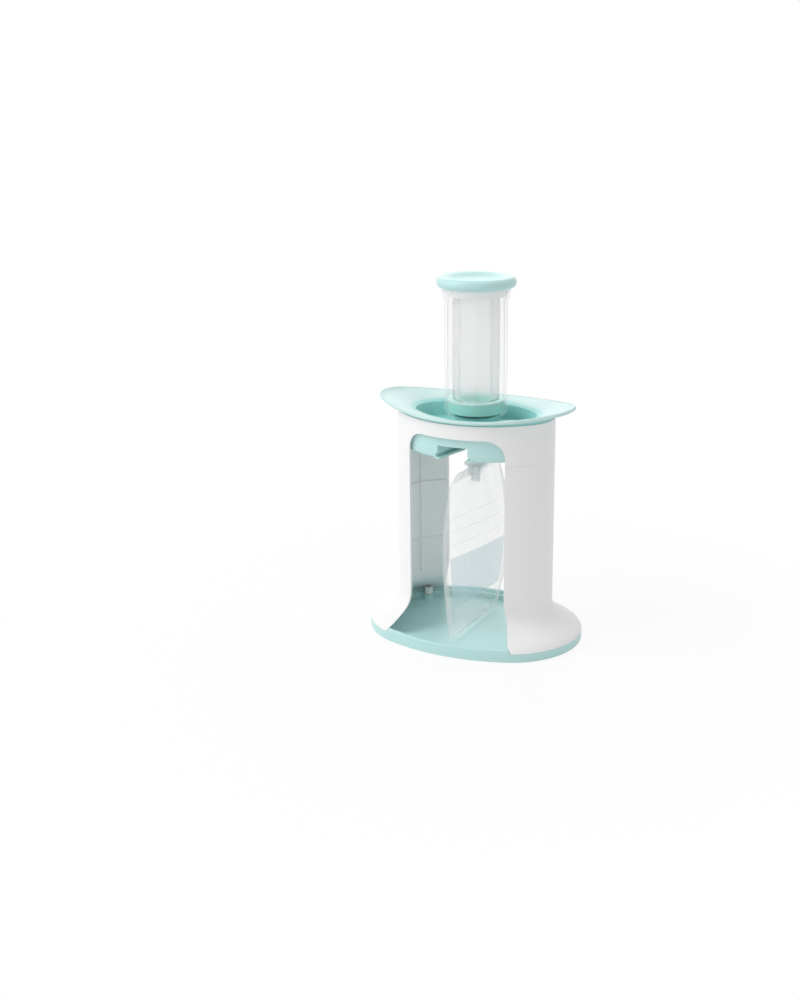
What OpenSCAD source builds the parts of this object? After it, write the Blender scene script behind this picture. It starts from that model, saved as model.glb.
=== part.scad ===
// Food pouch filling station. Millimetres, +Z up, front is -Y.
// Origin: centre of the footprint, on the surface it stands on.

/* [Housing] */
// Half length of the oval column
column_a = 68.6; // [66:0.1:72]
// Half depth of the oval column
column_b = 50.5; // [49.8:0.1:53]
// How far the column's end radius falls short of its half depth
column_point = 14.5; // [13:0.1:15.5]
// Wall thickness of legs and upper housing
shell_wall = 2.5; // [2:0.1:3]
// Top edge of the upper housing
shell_top_z = 193.4; // [190:0.1:193.5]
// Joint line between the legs and the upper housing
seam_z = 160; // [150:0.5:165]
// Half width of the arch opening
arch_half_w = 42.9; // [40:0.1:45]
// Crown height of the arch opening
arch_top_z = 181.6; // [178:0.1:184]
// Corner radius at the arch crown
arch_corner_r = 15; // [8:0.5:20]
// Height at which the arch sides start to flare
arch_flare_z = 45; // [40:0.5:50]
// Radius of the arch side flare
arch_flare_r = 53; // [48:0.5:58]
// Height at which the column starts to flare into the foot
foot_flare_z = 37; // [34:0.2:40]
// Heights of the two inner stiffening ribs
rib_z = [66.6, 118.7];

/* [Base tray] */
// Half length of the base
base_a = 94; // [90:0.5:98]
// Half depth of the base
base_b = 67.5; // [65:0.1:70]
// How far the base's end radius falls short of its half depth
base_point = 5.5; // [4:0.1:7]
// Height of the ledge that carries the legs
ledge_z = 8; // [7:0.1:9]
// Top of the front and rear sills
sill_top_z = 11; // [10:0.1:12]
// Top of the recessed floor
floor_top_z = 3.6; // [3.4:0.1:4]

/* [Funnel tray] */
// Half length of the tray, wing tip to centre
tray_a = 86.5; // [82:0.5:90]
// Half depth of the tray
tray_b = 53.4; // [52.8:0.1:56]
// How far the tray's end radius falls short of its half depth
tray_point = 23.4; // [21:0.1:26]
// Rim height at the middle of the tray
rim_mid_z = 197.5; // [196.8:0.1:199]
// Extra rim height at the wing tips
wing_rise = 7.1; // [3:0.1:10]
// Flange thickness
flange_t = 2.7; // [2:0.1:3]
// Depth of the bowl below its opening
bowl_depth = 12.9; // [12:0.1:13.2]

/* [Spout holder] */
// Half length of the drum
drum_a = 65.2; // [62:0.1:65.3]
// Half depth of the drum
drum_b = 47; // [46:0.1:47.2]
// Underside of the drum
drum_z = 162.2; // [161.5:0.1:162.6]
// Half width of the mouth
mouth_half_w = 15.6; // [13:0.1:18]

/* [Tube and plunger] */
// Outer radius of the filling tube
tube_r = 26; // [25.5:0.1:26.2]
// Wall of the filling tube
tube_wall = 2.2; // [1.8:0.1:2.4]
// Mouth height of the filling tube
tube_top_z = 295.6; // [290:0.1:296]
// Outer radius of the tube mouth
tube_lip_r = 28.6; // [28:0.1:30]
// Circumradius of the octagonal plunger column
rod_r = 19.3; // [17:0.1:20]
// Radius of the palm knob
knob_r = 32.7; // [31:0.1:36]
// Top of the palm knob
knob_top_z = 306.3; // [305:0.1:308]

/* [Pouch] */
// Half width of the pouch film
film_half_w = 46.8; // [40:0.1:47]
// Top of the pouch film
film_top_z = 147; // [140:0.5:148]
// Bottom of the pouch film
film_bottom_z = 12.8; // [12.8:0.1:30]
// Turn of the pouch about its spout
film_turn = 88.5; // [80:1:92]
// Radius of the spout's gripping flange
spout_flange_r = 9.6; // [9:0.1:9.7]

/* [Part] */
// Sub-part to draw, or all

/* [Hidden] */
$fn = 96;
oval_steps = 96;        // points round an oval
edge_steps = 5;        // steps of a rounded edge
lap = 0.4;             // overlap where pieces of one moulding join
past = 1;              // cutters run this far past a face
fit_gap = 0.3;         // clearance between pieces that slide or lift apart
seat_gap = 0.1;        // clearance between seated faces
mint = [0.74, 0.9, 0.88];
white = [0.96, 0.96, 0.96];
clear = [0.92, 0.94, 0.95, 0.5];

// base
pad_r = 8;
pad_t = 1.6;
pad_proud = 0.8;
pad_x = base_a - 48;
pad_y = base_b - 25.5;
base_re = base_b - base_point;
base_wall = 2.4;
ledge_w = 8.2;
guide_gap = 0.9;
guide_t = 1.5;
guide_h = 1.5;
sill_t = 3.4;
sill_r = 1.2;
screw_r = 1.5;
screw_head_r = 2.8;
screw_head_t = 1.8;
screw_len = 9.5;
slot_l = 2.6;
slot_w = 0.7;
slot_t = 1.6;
boss_r = 3.6;
boss_foot_r = 4.6;
boss_h = 6;
boss_side = 2.5;
boss_gap = 1.5;

// legs and upper housing
rib_t = 1.3;
rib_depth = 1.2;
rib_turn = 32.3;
tongue_t = 1.1;
tongue_h = 5;
foot_rings = 12;
foot_tuck = 0.12;
leg_steps = 27;
flare_power = 1.6;
column_re = column_b - column_point;
screw_x = arch_w(ledge_z) + boss_r + boss_side;
screw_y = foot_y(ledge_z + boss_h, screw_x, shell_wall) - boss_r - boss_gap;

// funnel tray
bowl_a = 53.2;
bowl_b = 33.9;
bowl_re = bowl_b - 12.3;
bowl_top_z = 193.9;
bowl_floor_z = bowl_top_z - bowl_depth;
bowl_floor_a = 48.6;
bowl_floor_b = 29.4;
bowl_floor_re = bowl_floor_b - 11;
bowl_t = 2.4;
bowl_corner_r = 4;
bowl_corner_turn = 22.5;
bowl_lip_r = 0.6;
bowl_lip_turn = 45;
rim_edge_r = 1.2;
rim_edge_turn = 30;
flange_shares = [0.3, 0.5, 0.7, 0.94];
tray_re = tray_b - tray_point;
seat_r = 18;
seat_bore_r = 13.3;
seat_top_z = 191.4;
seat_bottom_z = 177.5;
skirt_in = 0.5;
skirt_t = 1.5;
skirt_z = 190.2;
tray_steps = 80;
crease_x = 42;
crease_soft = 6;
crease_lift = 0.9;

// spout holder
drum_re = drum_b - 14;
drum_wall = 2.4;
drum_edge_r = 4;
drum_top_z = 189.4;
drum_floor_t = 2.6;
channel_block_t = 2.6;
channel_low_in = 2.6;
channel_high_in = 1.8;
throat_y = -12;
groove_z = 164;
groove_h = 3.2;
tunnel_top_z = 174;
ceiling_t = 2.4;
neck_r = 5;
thread_r = 6.4;
nozzle_clear = 1.6;
holder_screw_x = 36;
holder_boss_r = 3.4;

// tube and plunger
tube_bottom_z = 191.5;
tube_corner_r = 5;
tube_floor_t = 2.2;
tube_flare_z = 286;
tube_flare_out = 0.3;
lip_wall = 1.5;
tube_neck_r = 12.4;
tube_neck_bottom_z = 179.5;
nozzle_r = 4.5;
nozzle_bore_r = 3;
nozzle_tip_z = 172.5;
gasket_r = 0.9;
gasket_z = 185;
piston_z = 194.6;
piston_t = 8.6;
piston_gap = 0.5;
piston_wall = 2.2;
seal_t = 1.7;
rod_sides = 8;
rod_wall = 2;
rod_socket = 4;
collar_z = 290.6;
collar_r = 25;
collar_top_r = 27.3;
rim_r = 4.6;
dish_depth = 3.9;
dish_eye = 0.12;
dish_flat = 0.55;
dish_sag = 0.1;
dish_steps = 18;
rim_steps = 18;

// pouch
film_t = 5.4;
film_edge_t = 0.8;
film_rows = 18;
film_cols = 14;
film_waves = 0.52;
film_bend = 2;
film_twist = -10.2;
film_twist_power = 1.07;
film_side_power = 0.7;
film_swell_top = 0.94;
film_swell_foot = 0.08;
film_swell_power = 0.6;
film_shoulder = 5;
film_shoulder_power = 8;
film_hem = 1.2;
film_hem_power = 10;
spout_top_z = 172;
stem_r = 4.6;
stem_tip_r = 3.9;
fin_half_w = 12;
fin_half_t = 0.8;
fin_z = 141;
boat_z = 133.5;
collar_flange_z = 148.2;
collar_flange_t = 1.5;
spout_bore_r = 3.1;
spout_ring_t = 2;
thread_from = 3.6;
thread_pitch = 2.6;
thread_t = 1.1;
thread_rib = 0.5;

// ---- four-arc oval: half length a, half depth b, end radius re ----
function oval_u(a, re) = a - re;
function oval_v(a, b, re) = let (c = a - b, u = a - re) c * (2 * u - c) / (2 * (u - c));
function oval_R(a, b, re) = oval_v(a, b, re) + b;
function oval_turn(a, b, re) = atan2(oval_v(a, b, re), oval_u(a, re));
// point of the oval where the outward normal has direction t (first quadrant and beyond)
function oval_at(a, b, re, t) =
    let (j = oval_turn(a, b, re), q = abs(((t + 180) % 360) - 180), h = q > 90 ? 180 - q : q)
    let (x = h <= j ? oval_u(a, re) + re * cos(h) : oval_R(a, b, re) * cos(h))
    let (y = h <= j ? re * sin(h) : oval_R(a, b, re) * sin(h) - oval_v(a, b, re))
    [q > 90 ? -x : x, t % 360 > 180 ? -y : y];
// normal direction at which the oval crosses a given x, and its y there
function oval_turn_at_x(a, b, re, x) =
    let (t = acos(min(1, x / oval_R(a, b, re))))
    t > oval_turn(a, b, re) ? t : acos(min(1, (x - oval_u(a, re)) / re));
function oval_y(a, b, re, x) = oval_at(a, b, re, oval_turn_at_x(a, b, re, x))[1];

function oval_points(a, b, re) =
    [for (i = [0:oval_steps - 1]) oval_at(a, b, re, 360 * i / oval_steps)];

module oval(a, b, re) {
    polygon(oval_points(a, b, re));
}

module oval_slab(a, b, re, z0, z1, inset = 0) {
    translate([0, 0, z0])
        linear_extrude(z1 - z0) oval(a - inset, b - inset, re - inset);
}

module oval_ring(a, b, re, z0, z1, inset, t) {
    translate([0, 0, z0])
        linear_extrude(z1 - z0)
            difference() {
                oval(a - inset, b - inset, re - inset);
                oval(a - inset - t, b - inset - t, re - inset - t);
            }
}

// ring-shaped solid: the closed profile of [inset, height] points swept round the oval;
// the profile runs outward over the top and back inward underneath
module oval_loft(a, b, re, profile) {
    m = len(profile);
    n = oval_steps;
    function at(k, i) = (k % m) * n + i % n;
    polyhedron(
        points = [for (p = profile) for (q = oval_points(a - p[0], b - p[0], re - p[0])) [q[0], q[1], p[1]]],
        faces = concat(
            [for (k = [0:m - 1], i = [0:n - 1]) [at(k, i), at(k, i + 1), at(k + 1, i)]],
            [for (k = [0:m - 1], i = [0:n - 1]) [at(k, i + 1), at(k + 1, i + 1), at(k + 1, i)]]),
        convexity = 8);
}
// quarter arc of the profile of an edge: centre, radius, first and last angle
function edge_arc(c, r, from, to) = [for (i = [0:edge_steps])
    let (t = mixed(from, to, i / edge_steps)) [c[0] - r * cos(t), c[1] + r * sin(t)]];
function mixed(lo, hi, t) = lo + t * (hi - lo);

// the arch opening seen from the front; grow shifts its outline outward
module arch_outline(grow = 0) {
    w = arch_half_w + grow;
    flare_x = arch_half_w + arch_flare_r;
    translate([-w, -past])
        square([2 * w, arch_top_z + grow - arch_corner_r + past]);
    translate([-w + arch_corner_r, -past])
        square([2 * (w - arch_corner_r), arch_top_z + grow + past]);
    for (s = [-1, 1])
        translate([s * (w - arch_corner_r), arch_top_z + grow - arch_corner_r])
            circle(arch_corner_r);
    difference() {
        translate([-flare_x, -past])
            square([2 * flare_x, arch_flare_z + past]);
        for (s = [-1, 1])
            translate([s * flare_x, arch_flare_z]) circle(arch_flare_r - grow);
    }
}

module arch_cut(grow = 0) {
    rotate([90, 0, 0])
        linear_extrude(4 * base_b, center = true) arch_outline(grow);
}

// ---- base ----
module screw_sites() {
    for (sx = [-1, 1], sy = [-1, 1])
        translate([sx * screw_x, sy * screw_y, 0]) children();
}

module pad_sites() {
    for (sx = [-1, 1], sy = [-1, 1])
        translate([sx * pad_x, sy * pad_y, 0]) children();
}

// the sill: base wall that rises above the ledge to a rounded top
function sill_profile() = concat(
    edge_arc([sill_t - sill_r, sill_top_z - sill_r], sill_r, 180, 90),
    edge_arc([sill_r, sill_top_z - sill_r], sill_r, 90, 0),
    [[0, ledge_z - base_wall], [sill_t, ledge_z - base_wall]]);

module base_tray() {
    guide_in = shell_wall + guide_gap;
    color(mint)
        difference() {
            union() {
                oval_slab(base_a, base_b, base_re, floor_top_z - base_wall, floor_top_z, ledge_w - lap);
                oval_ring(base_a, base_b, base_re, pad_proud, ledge_z, 0, base_wall);
                oval_ring(base_a, base_b, base_re, ledge_z - base_wall, ledge_z, lap, ledge_w - lap);
                oval_ring(base_a, base_b, base_re, floor_top_z - base_wall, ledge_z,
                    ledge_w - base_wall, base_wall);
                difference() {
                    oval_ring(base_a, base_b, base_re, ledge_z - lap, ledge_z + guide_h, guide_in, guide_t);
                    arch_cut(-guide_gap - lap);
                }
                intersection() {
                    oval_loft(base_a, base_b, base_re, sill_profile());
                    arch_cut(-fit_gap);
                }
                pad_sites()
                    translate([0, 0, pad_proud])
                        cylinder(r = pad_r + base_wall, h = floor_top_z - pad_proud - lap);
                screw_sites()
                    translate([0, 0, pad_proud]) cylinder(r = boss_foot_r, h = ledge_z - pad_proud - lap);
            }
            pad_sites()
                translate([0, 0, -past]) cylinder(r = pad_r + seat_gap, h = pad_t + past);
            screw_sites() {
                translate([0, 0, -past]) cylinder(r = screw_r + seat_gap, h = ledge_z + 2 * past);
                translate([0, 0, -past])
                    cylinder(r = screw_head_r + seat_gap, h = pad_proud + screw_head_t + past + fit_gap);
            }
        }
}

module foot_pad(sx, sy) {
    color([0.75, 0.78, 0.78])
        translate([sx * pad_x, sy * pad_y, 0]) cylinder(r = pad_r, h = pad_t);
}
module foot_front_left() { foot_pad(-1, -1); }
module foot_front_right() { foot_pad(1, -1); }
module foot_rear_left() { foot_pad(-1, 1); }
module foot_rear_right() { foot_pad(1, 1); }

module leg_screws() {
    head_z = pad_proud + fit_gap;
    color([0.7, 0.7, 0.72])
        screw_sites()
            difference() {
                union() {
                    translate([0, 0, head_z]) cylinder(r = screw_head_r, h = screw_head_t);
                    translate([0, 0, head_z]) cylinder(r = screw_r, h = screw_len);
                }
                for (turn = [0, 90])
                    rotate([0, 0, turn])
                        translate([0, 0, head_z]) cube([slot_l, slot_w, slot_t], center = true);
            }
}

// ---- legs: C-shaped columns that flare into the foot ----
function flare_at(z) =
    let (s = pow((foot_flare_z - min(z, foot_flare_z)) / (foot_flare_z - ledge_z), flare_power))
    3 * pow(s, 2) - 2 * pow(s, 3);
// half length, half depth and end radius of the foot at a height
function foot_oval(z, inset) = let (t = flare_at(z))
    [mixed(column_a, base_a, t) - inset, mixed(column_b, base_b, t) - inset,
        mixed(column_re, base_re, t) - inset];
function foot_y(z, x, inset) = let (o = foot_oval(z, inset)) oval_y(o[0], o[1], o[2], x);
function arch_w(z) =
    arch_half_w + (z >= arch_flare_z ? 0
        : arch_flare_r - sqrt(pow(arch_flare_r, 2) - pow(arch_flare_z - z, 2)));
// normal directions of one half outline, from the arch side to the end of the leg
function leg_outline(o, x) =
    let (start = oval_turn_at_x(o[0], o[1], o[2], x))
    let (half = [for (i = [0:leg_steps - 1]) oval_at(o[0], o[1], o[2], start * (1 - i / leg_steps))])
    concat(half, [[o[0], 0]], [for (i = [leg_steps - 1:-1:0]) [half[i][0], -half[i][1]]]);

// the top of the flare is drawn slightly thinner and runs up inside the wall of the column
module leg_foot() {
    zs = concat([for (i = [0:foot_rings]) mixed(ledge_z + seat_gap, foot_flare_z, i / foot_rings)],
        [foot_flare_z + past]);
    last = len(zs) - 1;
    rings = [for (k = [0:last])
        let (z = zs[k], e = k >= last - 1 ? foot_tuck : 0, x = arch_w(z) + e)
        let (outer = leg_outline(foot_oval(z, e), x), inner = leg_outline(foot_oval(z, shell_wall - e), x))
        [for (p = concat(outer, [for (i = [len(inner) - 1:-1:0]) inner[i]])) [p[0], p[1], z]]];
    n = len(rings[0]);
    m = n / 2;
    top = last * n;
    polyhedron(
        points = [for (r = rings) each r],
        faces = concat(
            [for (k = [0:last - 1], i = [0:n - 1])
                let (p = k * n + i, q = k * n + (i + 1) % n) [p, q, p + n]],
            [for (k = [0:last - 1], i = [0:n - 1])
                let (p = k * n + i, q = k * n + (i + 1) % n) [q, q + n, p + n]],
            [for (i = [0:m - 2]) [n - 1 - i, n - 2 - i, i + 1, i]],
            [for (i = [0:m - 2]) [top + i, top + i + 1, top + n - 2 - i, top + n - 1 - i]]),
        convexity = 6);
}

module leg_column() {
    difference() {
        union() {
            oval_ring(column_a, column_b, column_re, foot_flare_z, seam_z, 0, shell_wall);
            for (z = rib_z)
                oval_ring(column_a, column_b, column_re, z, z + rib_t, shell_wall - lap, rib_depth + lap);
            for (s = [-1, 1])
                translate([column_a - column_re, 0, foot_flare_z])
                    rotate([0, 0, s * rib_turn])
                        translate([column_re - shell_wall - rib_depth, -rib_t / 2, 0])
                            cube([rib_depth + lap, rib_t, seam_z - tongue_h - 2 * past - foot_flare_z]);
        }
        arch_cut();
        translate([-2 * base_a, -2 * base_b, 0])
            cube([2 * base_a, 4 * base_b, 2 * shell_top_z]);
        oval_slab(column_a, column_b, column_re, seam_z - tongue_h, seam_z + past, shell_wall - tongue_t);
    }
}

module leg() {
    leg_column();
    leg_foot();
    for (s = [-1, 1])
        translate([screw_x, s * screw_y, ledge_z + seat_gap])
            difference() {
                union() {
                    cylinder(r = boss_r, h = boss_h);
                    rotate([0, 0, s * 90])
                        translate([boss_r - 2 * lap, -rib_t, 0])
                            cube([boss_gap + 2 * lap + shell_wall / 2, 2 * rib_t, boss_h - lap]);
                }
                translate([0, 0, -past]) cylinder(r = screw_r + seat_gap, h = screw_len);
            }
}
module right_leg() { color(white) leg(); }
module left_leg() { color(white) mirror([1, 0, 0]) leg(); }

module upper_housing() {
    color(white)
        difference() {
            union() {
                oval_ring(column_a, column_b, column_re, seam_z + seat_gap, shell_top_z, 0, shell_wall);
                oval_ring(column_a, column_b, column_re, seam_z - tongue_h + fit_gap, seam_z + tongue_h,
                    shell_wall - tongue_t + seat_gap, tongue_t - seat_gap);
            }
            arch_cut();
        }
}

// ---- funnel tray ----
function rim_z(x) = rim_mid_z + wing_rise * pow(x / tray_a, 2);
function crease(x) = crease_lift * exp(-pow((abs(x) - crease_x) / crease_soft, 2));
// one ring of the tray: a share f of the way from the bowl opening to the rim, pushed out and lowered
function flange_ring(f, out, drop) = [for (i = [0:tray_steps - 1])
    let (t = 360 * i / tray_steps)
    let (p = oval_at(bowl_a, bowl_b, bowl_re, t), q = oval_at(tray_a, tray_b, tray_re, t))
    let (x = mixed(p[0], q[0], f) + out * cos(t), y = mixed(p[1], q[1], f) + out * sin(t))
    let (z = mixed(bowl_top_z, rim_z(q[0]), f) + crease(x) * 4 * f * (1 - f))
    [x, y, z - drop]];
function bowl_ring(g, out, z) = [for (i = [0:tray_steps - 1])
    let (t = 360 * i / tray_steps)
    let (p = oval_at(bowl_a, bowl_b, bowl_re, t))
    let (q = oval_at(bowl_floor_a, bowl_floor_b, bowl_floor_re, t))
    [mixed(p[0], q[0], g) + out * cos(t), mixed(p[1], q[1], g) + out * sin(t), z]];
function disc_ring(r, z) = [for (i = [0:tray_steps - 1])
    let (t = 360 * i / tray_steps) [r * cos(t), r * sin(t), z]];

// rounded corners between the bowl's floor and wall, at the bowl's opening and round the rim
function floor_corner(r, out, z) = [for (t = [0:bowl_corner_turn:90])
    bowl_ring(1, out - r * (1 - sin(t)), z + r * (1 - cos(t)))];
function opening_lip() = [for (t = [0:bowl_lip_turn:90])
    flange_ring(0, bowl_lip_r * (1 - cos(t)), bowl_lip_r * (1 - sin(t)))];
function rim_edge(top) = [for (t = [0:rim_edge_turn:90])
    let (drop = rim_edge_r * (1 - sin(t)))
    flange_ring(1, -rim_edge_r * (1 - cos(t)), top ? drop : flange_t - drop)];
function reversed(list) = [for (i = [len(list) - 1:-1:0]) list[i]];

module tray_shell() {
    seat_mid_r = (seat_r + seat_bore_r) / 2;
    rings = concat(
        [disc_ring(seat_mid_r, bowl_floor_z)],
        floor_corner(bowl_corner_r, 0, bowl_floor_z),
        opening_lip(),
        [for (f = flange_shares) flange_ring(f, 0, 0)],
        reversed(rim_edge(true)),
        rim_edge(false),
        [for (f = reversed(flange_shares)) flange_ring(f, 0, flange_t)],
        [flange_ring(0, bowl_t + bowl_lip_r, flange_t)],
        reversed(floor_corner(bowl_corner_r + bowl_t, bowl_t, bowl_floor_z - bowl_t)),
        [disc_ring(seat_mid_r, bowl_floor_z - bowl_t)]);
    n = tray_steps;
    k_n = len(rings);
    function at(k, i) = (k % k_n) * n + i % n;
    polyhedron(
        points = [for (r = rings) each r],
        faces = concat(
            [for (k = [0:k_n - 1], i = [0:n - 1]) [at(k, i), at(k, i + 1), at(k + 1, i)]],
            [for (k = [0:k_n - 1], i = [0:n - 1]) [at(k, i + 1), at(k + 1, i + 1), at(k + 1, i)]]),
        convexity = 10);
}

// middle of the flange's thickness above a point of the column's oval
function flange_mid(t, p) =
    let (bowl = oval_at(bowl_a, bowl_b, bowl_re, t), rim = oval_at(tray_a, tray_b, tray_re, t))
    let (f = (norm(p) - norm(bowl)) / (norm(rim) - norm(bowl)))
    mixed(bowl_top_z, rim_z(rim[0]), f) - flange_t / 2;

// ring that sits on the housing, with a skirt that drops inside its wall
module tray_skirt() {
    low = shell_wall + fit_gap;
    seat_z = shell_top_z + seat_gap;
    insets = [low + skirt_t, skirt_in, skirt_in, low, low, low + skirt_t];
    zs = [undef, undef, seat_z, seat_z, skirt_z, skirt_z];
    m = len(insets);
    n = oval_steps;
    function at(k, i) = (k % m) * n + i % n;
    polyhedron(
        points = [for (k = [0:m - 1], i = [0:n - 1])
            let (t = 360 * i / n, d = insets[k])
            let (p = oval_at(column_a - d, column_b - d, column_re - d, t))
            [p[0], p[1], zs[k] == undef ? flange_mid(t, p) : zs[k]]],
        faces = concat(
            [for (k = [0:m - 1], i = [0:n - 1]) [at(k, i), at(k, i + 1), at(k + 1, i)]],
            [for (k = [0:m - 1], i = [0:n - 1]) [at(k, i + 1), at(k + 1, i + 1), at(k + 1, i)]]),
        convexity = 8);
}

module funnel_tray() {
    boss_bottom_z = drum_z + drum_floor_t + seat_gap;
    color(mint) {
        tray_shell();
        tray_skirt();
        translate([0, 0, seat_bottom_z])
            difference() {
                cylinder(r = seat_r, h = seat_top_z - seat_bottom_z);
                translate([0, 0, -past]) cylinder(r = seat_bore_r, h = seat_top_z - seat_bottom_z + 2 * past);
            }
        for (s = [-1, 1])
            translate([s * holder_screw_x, 0, boss_bottom_z])
                difference() {
                    cylinder(r = holder_boss_r, h = bowl_floor_z - bowl_t / 2 - boss_bottom_z);
                    translate([0, 0, -past]) cylinder(r = screw_r + seat_gap, h = screw_len);
                }
    }
}

// ---- spout holder ----
// plan of the channel: wide at the mouth, closing to the seat round the spout
module channel_plan(mouth_w, seat, from_y) {
    polygon([[-mouth_w, from_y], [mouth_w, from_y], [seat, throat_y], [seat, 0],
        [-seat, 0], [-seat, throat_y]]);
    circle(seat);
}

// wall and floor edge of the drum, joined by a rounded lower corner
function drum_profile() =
    let (r = drum_edge_r, foot = r + 2 * drum_wall, c = [r, drum_z + r])
    concat([[drum_wall, drum_top_z], [0, drum_top_z]], edge_arc(c, r, 0, -90),
        [[foot, drum_z], [foot, drum_z + drum_wall]], edge_arc(c, r - drum_wall, -90, 0));

module spout_holder() {
    ring_seat = spout_flange_r + fit_gap;
    thread_seat = thread_r + 2 * fit_gap;
    open_y = -drum_b - past;
    color(mint)
        difference() {
            union() {
                oval_loft(drum_a, drum_b, drum_re, drum_profile());
                oval_slab(drum_a, drum_b, drum_re, drum_z, drum_z + drum_wall, drum_edge_r + drum_wall);
                intersection() {
                    translate([0, 0, drum_z])
                        linear_extrude(tunnel_top_z + ceiling_t - drum_z)
                            channel_plan(mouth_half_w + channel_block_t, ring_seat + channel_block_t, open_y);
                    oval_slab(drum_a, drum_b, drum_re, drum_z, drum_top_z, drum_wall / 2);
                }
                for (s = [-1, 1])
                    translate([s * holder_screw_x, 0, drum_z])
                        cylinder(r = holder_boss_r + past, h = drum_floor_t);
            }
            translate([0, 0, drum_z - past])
                linear_extrude(tunnel_top_z - drum_z)
                    channel_plan(mouth_half_w - channel_low_in, neck_r + fit_gap, open_y);
            translate([0, 0, groove_z])
                linear_extrude(groove_h) channel_plan(mouth_half_w, ring_seat, open_y);
            translate([0, 0, groove_z + groove_h - lap])
                linear_extrude(tunnel_top_z - groove_z - groove_h + lap)
                    channel_plan(mouth_half_w - channel_high_in, thread_seat, open_y);
            translate([0, 0, tunnel_top_z - past])
                cylinder(r = nozzle_r + nozzle_clear, h = ceiling_t + 2 * past);
            for (s = [-1, 1])
                translate([s * holder_screw_x, 0, drum_z - past]) {
                    cylinder(r = screw_r + seat_gap, h = drum_floor_t + 2 * past);
                    cylinder(r = screw_head_r + seat_gap, h = past + screw_head_t / 2 + fit_gap);
                }
        }
}

module holder_screws() {
    head_z = drum_z + fit_gap;
    color([0.7, 0.7, 0.72])
        for (s = [-1, 1])
            translate([s * holder_screw_x, 0, 0])
                difference() {
                    union() {
                        translate([0, 0, head_z]) cylinder(r = screw_head_r, h = screw_head_t / 2);
                        translate([0, 0, head_z]) cylinder(r = screw_r, h = screw_len);
                    }
                    for (turn = [0, 90])
                        rotate([0, 0, turn])
                            translate([0, 0, head_z]) cube([slot_l, slot_w, slot_t - lap], center = true);
                }
}

// ---- filling tube and plunger ----
module filling_tube() {
    inner_r = tube_r - tube_wall;
    color(clear)
        difference() {
            rotate_extrude()
                union() {
                    translate([0, tube_bottom_z]) square([tube_r - tube_corner_r, tube_corner_r + lap]);
                    translate([0, tube_bottom_z + tube_corner_r])
                        square([tube_r, tube_flare_z - tube_bottom_z - tube_corner_r]);
                    intersection() {
                        translate([tube_r - tube_corner_r, tube_bottom_z + tube_corner_r])
                            circle(tube_corner_r);
                        translate([0, tube_bottom_z]) square([tube_r, tube_corner_r + lap]);
                    }
                    polygon([[0, tube_flare_z - lap], [tube_r, tube_flare_z - lap],
                        [tube_r + tube_flare_out, tube_flare_z], [tube_lip_r, tube_top_z], [0, tube_top_z]]);
                    translate([0, tube_neck_bottom_z])
                        square([tube_neck_r, tube_bottom_z - tube_neck_bottom_z + lap]);
                    translate([0, nozzle_tip_z]) square([nozzle_r, tube_bottom_z - nozzle_tip_z]);
                }
            rotate_extrude()
                union() {
                    translate([0, tube_bottom_z + tube_floor_t])
                        square([inner_r - tube_wall, tube_top_z - tube_bottom_z]);
                    translate([0, tube_bottom_z + tube_floor_t + tube_wall])
                        square([inner_r, tube_flare_z - tube_bottom_z - tube_floor_t - tube_wall]);
                    translate([inner_r - tube_wall, tube_bottom_z + tube_floor_t + tube_wall])
                        circle(tube_wall);
                    polygon([[0, tube_flare_z - lap], [inner_r, tube_flare_z - lap],
                        [tube_lip_r - lip_wall, tube_top_z], [tube_lip_r - lip_wall, tube_top_z + past],
                        [0, tube_top_z + past]]);
                    translate([0, nozzle_tip_z - past])
                        square([nozzle_bore_r, tube_bottom_z - nozzle_tip_z + 2 * past + tube_floor_t]);
                }
            translate([0, 0, gasket_z])
                rotate_extrude() translate([tube_neck_r - gasket_r / 2, 0]) circle(gasket_r + seat_gap / 2);
        }
}

module tube_gasket() {
    color([0.85, 0.87, 0.86])
        translate([0, 0, gasket_z])
            rotate_extrude() translate([tube_neck_r - gasket_r / 2, 0]) circle(gasket_r);
}

module octagon(r) {
    polygon([for (k = [0:rod_sides - 1]) let (t = 360 * (k + 0.5) / rod_sides) [r * cos(t), r * sin(t)]]);
}

module plunger_column() {
    from_z = piston_z + piston_t - rod_socket + seat_gap;
    color([0.95, 0.95, 0.95])
        translate([0, 0, from_z])
            linear_extrude(knob_top_z - rim_r * 2 + rod_socket / 2 - from_z)
                difference() {
                    octagon(rod_r);
                    octagon(rod_r - rod_wall);
                }
}

module piston_head() {
    r = tube_r - tube_wall - piston_gap;
    color(mint)
        difference() {
            union() {
                translate([0, 0, piston_z]) cylinder(r = r, h = piston_t);
                translate([0, 0, piston_z + piston_t - lap])
                    cylinder(r = r - piston_wall, h = seal_t + lap);
            }
            translate([0, 0, piston_z + piston_t - rod_socket])
                linear_extrude(rod_socket + seal_t + past)
                    difference() {
                        octagon(rod_r + seat_gap);
                        octagon(rod_r - rod_wall - seat_gap);
                    }
            translate([0, 0, piston_z + piston_wall])
                cylinder(r = rod_r - 2 * rod_wall - piston_wall, h = piston_t + seal_t + past);
        }
}

module piston_seal() {
    r = tube_r - tube_wall - fit_gap;
    bore_r = tube_r - tube_wall - piston_gap - piston_wall + seat_gap;
    color([0.85, 0.94, 0.93])
        translate([0, 0, piston_z + piston_t + seat_gap / 2])
            difference() {
                cylinder(r = r, h = seal_t - seat_gap);
                translate([0, 0, -past])
                    cylinder(r = bore_r, h = seal_t + 2 * past);
            }
}

module plunger_collar() {
    top_z = knob_top_z - 2 * rim_r - seat_gap;
    color(white)
        rotate_extrude()
            polygon([[rod_r + seat_gap, collar_z], [collar_r, collar_z],
                [collar_top_r, top_z], [rod_r + seat_gap, top_z]]);
}

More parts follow.
